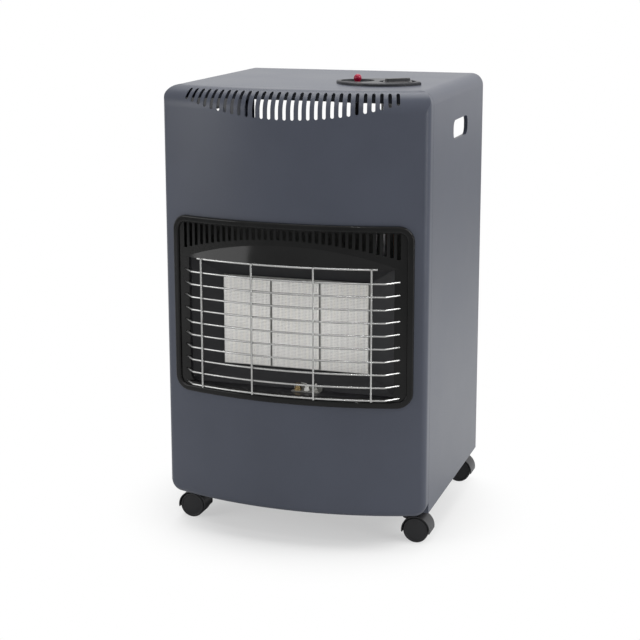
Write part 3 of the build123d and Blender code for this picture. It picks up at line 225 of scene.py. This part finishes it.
def powder_coat(name, colour, roughness):
    """Baked powder paint: a fine orange-peel skin over slow changes of tone and sheen."""
    finish = Finish(name)
    slow = finish.noise(7.0, 3.0)
    skin = finish.noise(620.0, 2.0, 0.6)
    pips = finish.noise(1900.0, 1.0)
    tone = finish.between(slow * 0.7 + skin * 0.3, 0.3, 0.7)
    return finish.set(
        Base_Color=finish.mix(tone, shade(colour, 0.93), shade(colour, 1.07)),
        Roughness=slow * 0.10 + skin * 0.06 + (roughness - 0.08),
        Normal=finish.bump(skin * 0.75 + pips * 0.25, 0.00006, 0.55),
        Specular_IOR_Level=0.25,
    ).material


def enamel(name, colour, roughness):
    """Glossy stoved enamel with a soft flow in its surface."""
    finish = Finish(name)
    flow = finish.noise(55.0, 2.0)
    dust = finish.noise(2400.0, 1.0)
    tone = finish.between(finish.noise(14.0, 3.0), 0.3, 0.7)
    return finish.set(
        Base_Color=finish.mix(tone, shade(colour, 0.8), shade(colour, 1.25)),
        Roughness=flow * 0.08 + dust * 0.04 + (roughness - 0.06),
        Normal=finish.bump(flow * 0.8 + dust * 0.2, 0.00012, 0.35),
        Specular_IOR_Level=0.16,
    ).material


def plated_wire(name, colour):
    """Bright nickel plating, a little duller where the wire was drawn and welded."""
    finish = Finish(name)
    drawn = finish.noise(900.0, 2.0, 0.6, finish.stretched((0.08, 1.0, 1.0)))
    haze = finish.between(finish.noise(38.0, 3.0), 0.35, 0.75)
    return finish.set(
        Base_Color=finish.mix(haze, colour, shade(colour, 0.84)),
        Metallic=1.0,
        Roughness=haze * 0.14 + drawn * 0.08 + 0.2,
        Normal=finish.bump(drawn, 0.00003, 0.4),
    ).material


def fired_clay(name, colour, face):
    """Porous white ceramic with faint ribs; painted shade darkens its bores behind the face."""
    finish = Finish(name)
    pores = finish.noise(1500.0, 3.0, 0.7)
    batch = finish.noise(24.0, 3.0)
    painted_bore_shade = finish.between(finish.axis("Y"), face + BORE_SHADE[0], face + BORE_SHADE[1])
    warm = finish.mix(finish.between(batch, 0.3, 0.7), colour,
                      (colour[0] * 0.98, colour[1] * 0.97, colour[2] * 0.94))
    wave = finish.math("SINE", finish.axis("X") * (math.tau / RIB_PITCH))
    ribbed = finish.mix(finish.between(wave, -0.6, 0.9), shade(colour, 0.92), warm)
    speck = finish.mix(finish.between(pores, 0.52, 0.7), ribbed, shade(colour, 0.82))
    return finish.set(
        # painted shade: the bores darken with depth behind the tile face
        Base_Color=finish.mix(painted_bore_shade, speck, shade(colour, 0.2)),
        Roughness=pores * 0.12 + 0.82,
        Normal=finish.bump(pores, 0.00012, 0.7),
        Specular_IOR_Level=0.25,
    ).material


def sheet_metal(name):
    """Rolled sheet: long fine grain along the rolling direction and a faint spangle."""
    colour, roughness = SHEETS[name]
    finish = Finish(name)
    grain = finish.noise(1300.0, 3.0, 0.6, finish.stretched((1.0, 0.05, 1.0)))
    spangle = finish.cells(110.0)
    cloud = finish.noise(16.0, 3.0)
    tone = finish.between(spangle * 0.5 + cloud * 0.5, 0.25, 0.65)
    return finish.set(
        Base_Color=finish.mix(tone, shade(colour, 0.86), shade(colour, 1.08)),
        Metallic=1.0,
        Roughness=grain * 0.16 + cloud * 0.12 + (roughness - 0.12),
        Normal=finish.bump(grain, 0.00003, 0.5),
    ).material


def turned_metal(name):
    """Turned or drawn metal with fine tool lines and spots of tarnish."""
    colour, roughness, tarnish = METALS[name]
    finish = Finish(name)
    lines = finish.noise(2600.0, 2.0, 0.6, finish.stretched((0.1, 0.1, 1.0)))
    spots = finish.between(finish.noise(75.0, 4.0, 0.65), 0.48, 0.72)
    return finish.set(
        Base_Color=finish.mix(spots, colour, tarnish),
        Metallic=1.0,
        Roughness=lines * 0.14 + spots * 0.18 + (roughness - 0.08),
        Normal=finish.bump(lines, 0.00002, 0.5),
    ).material


def moulded_plastic(name, colour, roughness, grain=700.0, depth=0.00005):
    """Moulded plastic with a spark-eroded skin."""
    finish = Finish(name)
    skin = finish.noise(grain, 3.0, 0.7)
    flow = finish.noise(22.0, 3.0)
    tone = finish.between(flow * 0.6 + skin * 0.4, 0.3, 0.7)
    return finish.set(
        Base_Color=finish.mix(tone, shade(colour, 0.86), shade(colour, 1.16)),
        Roughness=skin * 0.14 + flow * 0.10 + (roughness - 0.12),
        Normal=finish.bump(skin, depth, 0.6),
        Specular_IOR_Level=0.25,
    ).material


def rubber_sleeve(name, colour):
    """Silicone sleeving, paler where dust lies on it."""
    finish = Finish(name)
    skin = finish.noise(800.0, 2.0)
    dust = finish.between(finish.noise(60.0, 3.0), 0.4, 0.8)
    return finish.set(
        Base_Color=finish.mix(dust, colour, shade(colour, 1.35)),
        Roughness=dust * 0.15 + skin * 0.1 + 0.5,
        Normal=finish.bump(skin, 0.00004, 0.5),
    ).material


# ------------------------------------------------------------ mesh helpers

def new_object(name, bm, material):
    """Turns a bmesh into an object of the scene with one material."""
    mesh = bpy.data.meshes.new(name)
    bm.to_mesh(mesh)
    bm.free()
    mesh.materials.append(material)
    made = bpy.data.objects.new(name, mesh)
    bpy.context.scene.collection.objects.link(made)
    return made


def piece(name, bm, material, replaces=()):
    """Makes a finished piece from its bmesh and hands it to the base."""
    bmesh.ops.recalc_face_normals(bm, faces=bm.faces)
    made = new_object(name, bm, material)
    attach(made, "base")
    if replaces:
        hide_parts(*replaces)


def dress(material, *names):
    """Gives CAD nodes their material."""
    for name in names:
        mesh = NODES[name].data
        mesh.materials.clear()
        mesh.materials.append(material)


# ------------------------------------------------------------------ settings

def colour_property(name, description, default):
    return FloatVectorProperty(name=name, description=description, default=default,
                               subtype="COLOR", size=3, min=0.0, max=1.0)


def length_property(name, description, default, least):
    return FloatProperty(name=name, description=description, default=default,
                         min=least, unit="LENGTH")


def angle_property(name, description, default):
    return FloatProperty(name=name, description=description, default=default,
                         subtype="ANGLE")


class HeaterPaint(PropertyGroup):
    cabinet: colour_property("Cabinet", "Powder paint of the cabinet", (0.052, 0.058, 0.078))
    surround: colour_property("Surround", "Enamel round the burner", (0.006, 0.006, 0.006))
    button: colour_property("Button", "Ignition button", (0.3, 0.006, 0.034))
    plastic: colour_property("Plastic", "Casters and knob", (0.022, 0.022, 0.024))
    sheen: FloatProperty(name="Sheen", description="Roughness of the cabinet paint",
                         default=0.35, min=0.05, max=1.0, subtype="FACTOR")


class HeaterGuard(PropertyGroup):
    plating: colour_property("Plating", "Plated wire", (0.37, 0.37, 0.365))
    wire: length_property("Wire", "Diameter of the wire", 0.003, 0.001)
    stand: length_property("Stand-off", "Long wires ahead of the front panel", 0.014, 0.0)
    bow: length_property("Bow", "How far the front panel bows forward", 0.042, 0.001)
    count: IntProperty(name="Long wires", description="Number of long wires", default=10, min=2)
    lowest: length_property("Lowest wire", "Height of the lowest long wire", 0.251, 0.0)
    pitch: length_property("Pitch", "From one long wire to the next", 0.0203, 0.001)
    short: length_property("Short wire", "Height of the short upper wire", 0.4555, 0.0)
    outer: length_property("Outer uprights", "From the middle of the heater", 0.138, 0.0)
    inner: length_property("Inner uprights", "From the middle of the heater", 0.05, 0.0)


class HeaterBurner(PropertyGroup):
    columns: IntProperty(name="Columns", description="Bores across one tile", default=33, min=4)
    rows: IntProperty(name="Rows", description="Bores up one tile", default=60, min=4)
    bore: length_property("Bore", "Width of one bore", 0.00105, 0.0002)
    bore_depth: length_property("Bore depth", "Depth of the bores", 0.003, 0.0005)
    ceramic: colour_property("Ceramic", "Face of the tiles", (0.98, 0.965, 0.94))


class HeaterStage(PropertyGroup):
    focal: FloatProperty(name="Focal length", description="Lens of the camera in millimetres",
                         default=88.016, min=10.0)
    shift: FloatProperty(name="Shift", description="Vertical shift of the lens", default=-0.0625)
    eye: FloatVectorProperty(name="Eye", description="Place of the camera", size=3,
                             default=(0.76737, -2.41557, 0.93353), subtype="TRANSLATION",
                             unit="LENGTH")
    azimuth: angle_property("Azimuth", "Turn of the camera about the heater", 0.3108)
    elevation: angle_property("Elevation", "Downward tilt of the camera", 0.2111)
    roll: angle_property("Roll", "Roll of the camera", -0.0010)
    floor: colour_property("Floor", "Studio floor", (0.86, 0.86, 0.85))


# Name in the scene, settings, heading in the panel
GROUPS = (
    ("heater_paint", HeaterPaint, "Paint"),
    ("heater_guard", HeaterGuard, "Guard"),
    ("heater_burner", HeaterBurner, "Burner"),
    ("heater_stage", HeaterStage, "Stage"),
)


# ----------------------------------------------------------------- operators

class HeaterOperator:
    """Runs build() and reports it done."""
    bl_options = {"REGISTER", "UNDO"}

    def execute(self, context):
        self.build(context.scene)
        return {"FINISHED"}


class HEATER_OT_cabinet(HeaterOperator, Operator):
    """Paint the cabinet, its front, its rear cover and the base pan"""
    bl_idname = "heater.cabinet"
    bl_label = "Cabinet"

    def build(self, scene):
        paint = scene.heater_paint
        dress(powder_coat("slate_powder_coat", paint.cabinet, paint.sheen),
              "cabinet_shell", "front_panel", "rear_cover", "rear_crossbar")
        dress(powder_coat("base_powder_coat", shade(paint.cabinet, 0.62), 0.5), "base_pan")
        # the heat shield's dark colour is painted shade for the inside of the cabinet
        dress(sheet_metal("aluminised_shield_painted_shade"), "heat_shield")
        dress(turned_metal("zinc_plate"), "base_screws")


class HEATER_OT_surround(HeaterOperator, Operator):
    """Enamel the burner surround and the firebox"""
    bl_idname = "heater.surround"
    bl_label = "Burner surround"

    def build(self, scene):
        dress(enamel("black_enamel", scene.heater_paint.surround, 0.1), "burner_surround")
        dress(powder_coat("stove_black", STOVE_BLACK, 0.42), "firebox")


class HEATER_OT_guard(HeaterOperator, Operator):
    """Plate the wire guard and set the weld nuggets at its crossings"""
    bl_idname = "heater.guard"
    bl_label = "Wire guard"

    def build(self, scene):
        guard = scene.heater_guard
        plating = plated_wire("bright_plating", tuple(guard.plating))
        dress(plating, "guard_grille")
        low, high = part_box("front_panel")
        half = (high.x - low.x) / 2
        radius = (half ** 2 + guard.bow ** 2) / (2 * guard.bow)
        weld = radius + guard.stand + guard.wire / 2
        levels = [guard.lowest + i * guard.pitch for i in range(guard.count)] + [guard.short]
        flat = Matrix.Diagonal((1.0, NUGGET_DEPTH, 1.0, 1.0))
        bm = bmesh.new()
        for x in (-guard.outer, -guard.inner, guard.inner, guard.outer):
            y = low.y + radius - math.sqrt(weld ** 2 - x ** 2)
            for z in levels:
                bmesh.ops.create_icosphere(
                    bm, subdivisions=2, radius=guard.wire * NUGGET_RADIUS,
                    matrix=Matrix.Translation((x, y, z)) @ flat)
        for face in bm.faces:
            face.smooth = True
        piece("weld_nuggets", bm, plating)


class HEATER_OT_burner(HeaterOperator, Operator):
    """Make the perforated tiles and finish the burner parts behind them"""
    bl_idname = "heater.burner"
    bl_label = "Burner"

    def build(self, scene):
        burner = scene.heater_burner
        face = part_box("ceramic_tile_middle")[0].y
        clay = fired_clay("fired_tile", tuple(burner.ceramic), face)
        for side in ("left", "middle", "right"):
            self.tile(side, burner, clay)
        dress(sheet_metal("aluminised_sheet"),
              "burner_pan_left", "burner_pan_middle", "burner_pan_right", "burner_clamps",
              "pilot_bracket", "valve_bracket", "rail_saddles")
        dress(turned_metal("screw_zinc"), "clamp_screws", "thermocouple", "spark_wire")
        dress(fired_clay("white_porcelain", PORCELAIN, NO_BORES), "spark_electrode")
        dress(turned_metal("turned_brass"), "injector_jets", "pilot_burner")
        dress(turned_metal("drawn_aluminium"), "gas_rail", "supply_tube", "pilot_tube")

    def tile(self, side, burner, clay):
        """A tile block whose face is a grid of square bores."""
        node = "ceramic_tile_" + side
        low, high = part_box(node)
        middle = (low + high) / 2
        width, depth, height = high - low
        bm = bmesh.new()
        bmesh.ops.create_grid(bm, x_segments=burner.columns, y_segments=burner.rows, size=0.5)
        bmesh.ops.rotate(bm, verts=bm.verts, matrix=Matrix.Rotation(math.pi / 2, 3, "X"))
        bmesh.ops.scale(bm, verts=bm.verts, vec=(width, 1.0, height))
        bmesh.ops.translate(bm, verts=bm.verts, vec=(middle.x, low.y, middle.z))
        cells = list(bm.faces)
        rim = [edge for edge in bm.edges if edge.is_boundary]
        walls = bmesh.ops.extrude_edge_only(bm, edges=rim)["geom"]
        back = [vert for vert in walls if isinstance(vert, bmesh.types.BMVert)]
        bmesh.ops.translate(bm, verts=back, vec=(0, depth, 0))
        bmesh.ops.contextual_create(bm, geom=[edge for edge in bm.edges if edge.is_boundary])
        margin = (min(width / burner.columns, height / burner.rows) - burner.bore) / 2
        bmesh.ops.inset_individual(bm, faces=cells, thickness=margin, use_even_offset=True)
        holes = bmesh.ops.extrude_discrete_faces(bm, faces=cells)["faces"]
        bottoms = list({vert for hole in holes for vert in hole.verts})
        bmesh.ops.translate(bm, verts=bottoms, vec=(0, burner.bore_depth, 0))
        piece("tile_face_" + side, bm, clay, (node,))


class HEATER_OT_controls(HeaterOperator, Operator):
    """Finish the control bezel, the knob, the button and the valve below them"""
    bl_idname = "heater.controls"
    bl_label = "Controls"

    def build(self, scene):
        paint = scene.heater_paint
        dress(moulded_plastic("bezel_skin", BEZEL_BLACK, 0.4), "control_bezel")
        dress(moulded_plastic("knob_skin", paint.plastic, 0.3), "gas_knob", "igniter_body")
        dress(moulded_plastic("button_skin", paint.button, 0.2, grain=300.0, depth=0.00002),
              "igniter_button")
        dress(turned_metal("cast_alloy"), "gas_valve", "igniter_nut", "valve_spindle")
        dress(rubber_sleeve("silicone_sleeve", SILICONE), "igniter_lead")
        dress(turned_metal("bare_copper"), "thermocouple_lead")


class HEATER_OT_casters(HeaterOperator, Operator):
    """Finish the hooded twin-wheel casters"""
    bl_idname = "heater.casters"
    bl_label = "Casters"

    def build(self, scene):
        paint = scene.heater_paint
        hood = moulded_plastic("hood_skin", shade(paint.plastic, 1.35), 0.42)
        wheel = moulded_plastic("wheel_skin", shade(paint.plastic, 0.85), 0.5, grain=420.0)
        zinc = turned_metal("caster_zinc")
        for corner in ("fl", "fr", "rl", "rr"):
            dress(hood, "caster_hood_" + corner)
            dress(zinc, "caster_axle_" + corner)
            dress(wheel, "caster_wheel_" + corner + "_a", "caster_wheel_" + corner + "_b")
        dress(zinc, "caster_stems", "caster_nuts")


class HEATER_OT_stage(HeaterOperator, Operator):
    """Set out the floor, the lamps and the camera"""
    bl_idname = "heater.stage"
    bl_label = "Stage"

    def build(self, scene):
        stage = scene.heater_stage
        self.floor(stage)
        self.air(scene)
        for lamp in LAMPS:
            self.lamp(scene, *lamp)
        self.camera(scene, stage)
        scene.view_settings.view_transform = "Standard"

    def floor(self, stage):
        """Pale paper that is white to the camera, but for the shadow round the heater."""
        finish = Finish("studio_paper")
        paper = finish.noise(300.0, 2.0)
        finish.set(
            Base_Color=finish.mix(paper, shade(stage.floor, 0.99), shade(stage.floor, 1.01)),
            Roughness=0.9, Specular_IOR_Level=0.1)
        seen = finish.value("Is Camera Ray", "ShaderNodeLightPath")
        spread = finish.value("Value", "ShaderNodeVectorMath", {"operation": "LENGTH"},
                              {0: finish.place})
        away = finish.between(spread, *SHADOW_EDGE)
        white = finish.node("ShaderNodeEmission", inputs={"Color": WHITE})
        blend = finish.node("ShaderNodeMixShader", inputs={
            0: seen * (away * (1.0 - SHADOW_WHITE) + SHADOW_WHITE),
            1: finish.shader.outputs["BSDF"], 2: white.outputs["Emission"]})
        finish.put(finish.end.inputs["Surface"], blend.outputs["Shader"])
        bm = bmesh.new()
        bmesh.ops.create_circle(bm, cap_ends=True, segments=96, radius=FLOOR_RADIUS)
        new_object("studio_floor", bm, finish.material)

    def air(self, scene):
        """Soft light from all round, white where it is seen, mirrored or looked through."""
        scene.world = bpy.data.worlds.new("studio_air")
        nodes = Nodes(scene.world)
        rays = nodes.node("ShaderNodeLightPath").outputs
        mirrored = nodes.math("MAXIMUM", rays["Is Camera Ray"], rays["Is Glossy Ray"])
        clear = nodes.math("MAXIMUM", mirrored, rays["Is Transmission Ray"])
        soft = nodes.node("ShaderNodeBackground",
                          inputs={"Color": AIR, "Strength": AIR_STRENGTH})
        white = nodes.node("ShaderNodeBackground", inputs={"Color": WHITE, "Strength": 1.0})
        blend = nodes.node("ShaderNodeMixShader", inputs={
            0: clear, 1: soft.outputs[0], 2: white.outputs[0]})
        nodes.node("ShaderNodeOutputWorld", inputs={"Surface": blend.outputs[0]})

    def lamp(self, scene, name, place, aim, width, height, power):
        light = bpy.data.lights.new(name, "AREA")
        light.shape = "RECTANGLE"
        light.size = width
        light.size_y = height
        light.energy = power
        made = bpy.data.objects.new(name, light)
        scene.collection.objects.link(made)
        made.location = place
        beam = Vector((0.0, 0.0, aim)) - Vector(place)
        made.rotation_euler = beam.to_track_quat("-Z", "Y").to_euler()

    def camera(self, scene, stage):
        """A camera at the eye, looking along its azimuth and elevation."""
        azimuth, elevation, roll = stage.azimuth, stage.elevation, stage.roll
        back = Vector((math.sin(azimuth) * math.cos(elevation),
                       -math.cos(azimuth) * math.cos(elevation), math.sin(elevation)))
        right = (-back).cross(Vector((0, 0, 1))).normalized()
        up = right.cross(-back)
        across = right * math.cos(roll) + up * math.sin(roll)
        upward = up * math.cos(roll) - right * math.sin(roll)
        lens = bpy.data.cameras.new("camera")
        lens.lens = stage.focal
        lens.sensor_width = SENSOR
        lens.shift_y = stage.shift
        lens.clip_end = FAR_CLIP
        made = bpy.data.objects.new("camera", lens)
        scene.collection.objects.link(made)
        turn = Matrix((across, upward, back)).transposed()
        made.matrix_world = Matrix.Translation(Vector(stage.eye)) @ turn.to_4x4()
        scene.camera = made


OPERATORS = (
    HEATER_OT_cabinet,
    HEATER_OT_surround,
    HEATER_OT_guard,
    HEATER_OT_burner,
    HEATER_OT_controls,
    HEATER_OT_casters,
    HEATER_OT_stage,
)


class HEATER_PT_panel(Panel):
    """Settings and operators of the heater"""
    bl_idname = "HEATER_PT_panel"
    bl_label = "Cabinet gas heater"
    bl_space_type = "VIEW_3D"
    bl_region_type = "UI"
    bl_category = "Heater"

    def draw(self, context):
        for name, settings, heading in GROUPS:
            box = self.layout.box()
            box.label(text=heading)
            for key in settings.__annotations__:
                box.prop(getattr(context.scene, name), key)
        column = self.layout.column(align=True)
        for operator in OPERATORS:
            column.operator(operator.bl_idname)


CLASSES = (*(settings for name, settings, heading in GROUPS), *OPERATORS, HEATER_PT_panel)


def register():
    for item in CLASSES:
        bpy.utils.register_class(item)
    for name, settings, heading in GROUPS:
        setattr(bpy.types.Scene, name, PointerProperty(type=settings))


def unregister():
    for name, settings, heading in GROUPS:
        delattr(bpy.types.Scene, name)
    for item in reversed(CLASSES):
        bpy.utils.unregister_class(item)


def main():
    register()
    bpy.ops.heater.cabinet()
    bpy.ops.heater.surround()
    bpy.ops.heater.guard()
    bpy.ops.heater.burner()
    bpy.ops.heater.controls()
    bpy.ops.heater.casters()
    bpy.ops.heater.stage()


if __name__ == "__main__":
    main()
